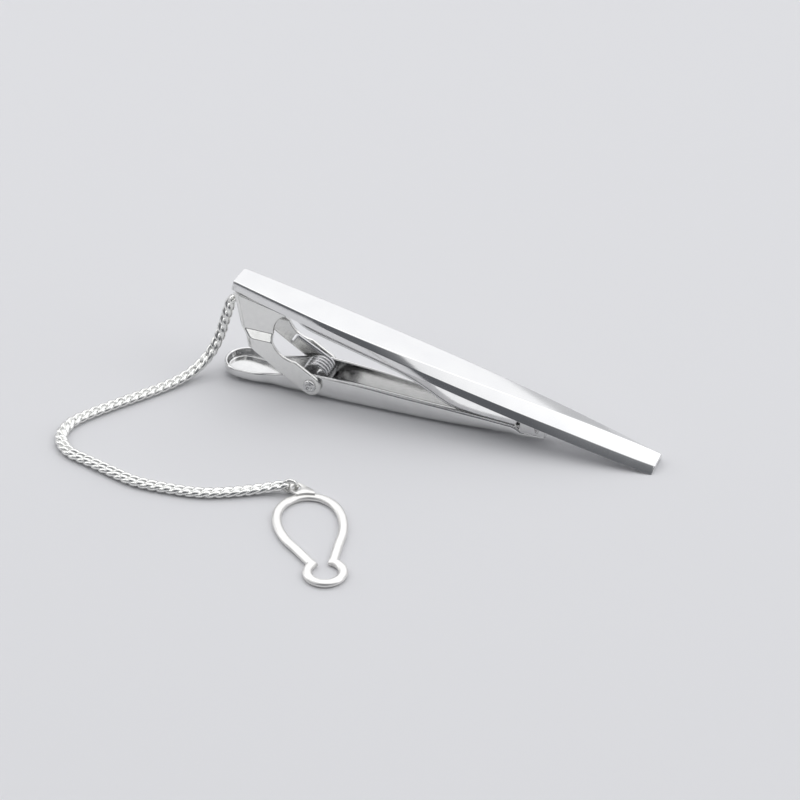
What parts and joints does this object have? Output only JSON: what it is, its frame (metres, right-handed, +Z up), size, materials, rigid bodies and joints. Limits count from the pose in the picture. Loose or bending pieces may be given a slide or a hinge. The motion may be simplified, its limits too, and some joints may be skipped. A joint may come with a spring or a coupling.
{
  "type": "tie clip with safety chain",
  "caption": "Slim faceted tie bar on a sprung toothed lever, with a fine safety chain that ends in a flat keyhole loop for a shirt button.",
  "frame": {"origin": "middle of the closed clip's box, on the table that it lies on", "axes": "+X along the bar towards its tip, +Y to the side away from the button loop, +Z up from the table"},
  "size_m": [0.0708, 0.0406, 0.0144],
  "materials": {
    "plated_bar": "mirror polished, plated",
    "plated_sheet": "tumbled and plated",
    "rivet": "hammered and plated",
    "spring_wire": "drawn wire",
    "plated_wire": "polished, plated",
    "chain_links": "polished, plated",
    "satin_loop": "satin, plated"
  },
  "bodies": {
    "lever_side": {"lever": "plated_sheet", "safety_chain": "chain_links", "end_ring": "plated_wire", "loop_tab": "satin_loop", "button_loop": "satin_loop"},
    "bar_side": {"face_bar": "plated_bar", "bracket": "plated_sheet", "grip_leaf": "plated_sheet", "pivot_pin": "rivet", "torsion_spring": "spring_wire", "anchor_eye": "plated_wire", "anchor_ring": "plated_wire"}
  },
  "joints": [
    {"name": "jaw_hinge", "type": "hinge", "parent": "lever_side", "child": "bar_side", "pos_m": [-0.01602, 0, 0.0022], "axis": [0, -1, 0], "range_deg": [0, 20], "stiffness_Nm_per_rad": 0.03, "springref_deg": -22.92, "deforming": ["torsion_spring", "safety_chain"]}
  ]
}
